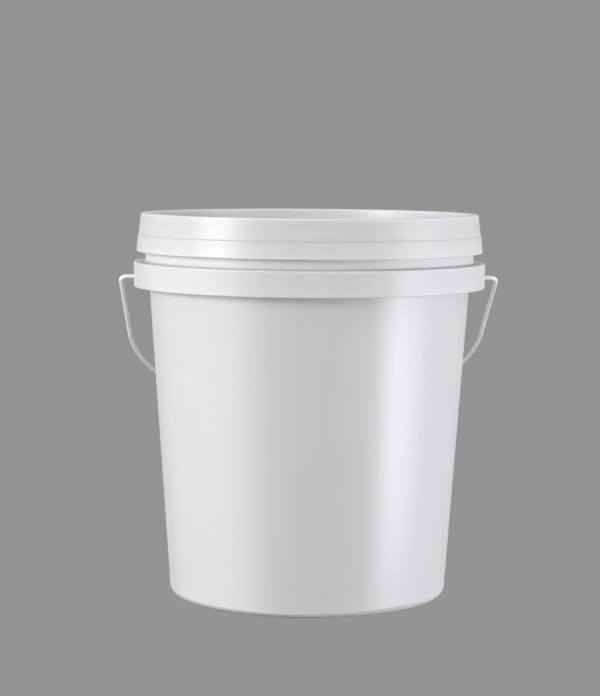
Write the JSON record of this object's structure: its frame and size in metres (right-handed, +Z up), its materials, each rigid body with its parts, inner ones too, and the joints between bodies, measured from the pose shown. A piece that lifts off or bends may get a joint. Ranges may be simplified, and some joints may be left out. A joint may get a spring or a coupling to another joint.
{
  "type": "lidded plastic pail",
  "caption": "Tapered plastic pail with a press-on lid, a scored tear strip, a deep stiffening collar and a wire bail with a roller grip.",
  "frame": {"origin": "centre of the foot ring, on the surface that the pail stands on", "axes": "+Z up along the pail's axis; the bail's pivot runs along X; the bail hangs towards +Y, so -Y is the front"},
  "size_m": [0.3366, 0.3109, 0.337],
  "materials": {
    "pail_plastic": "semi-gloss",
    "lid_plastic": "semi-gloss",
    "gasket_rubber": "matte",
    "wire_zinc": "drawn, zinc coated",
    "grip_plastic": "satin"
  },
  "bodies": {
    "pail": {"pail_body": "pail_plastic", "pail_collar": "pail_plastic", "collar_webs": "pail_plastic"},
    "lid": {"lid": "lid_plastic", "tear_strip": "lid_plastic", "lid_gasket": "gasket_rubber"},
    "bail": {"bail_wire": "wire_zinc"},
    "grip": {"bail_grip": "grip_plastic"}
  },
  "joints": [
    {"name": "bail_swing", "type": "hinge", "parent": "pail", "child": "bail", "pos_m": [0, 0, 0.2807], "axis": [1, 0, 0], "range_deg": [0, 262.81]},
    {"name": "grip_spin", "type": "hinge", "parent": "bail", "child": "grip", "pos_m": [0, 0.14401, 0.15371], "axis": [1, 0, 0], "continuous": true},
    {"name": "lid_lift", "type": "slide", "parent": "pail", "child": "lid", "axis": [0, 0, 1], "range_m": [0, 0.2]}
  ]
}
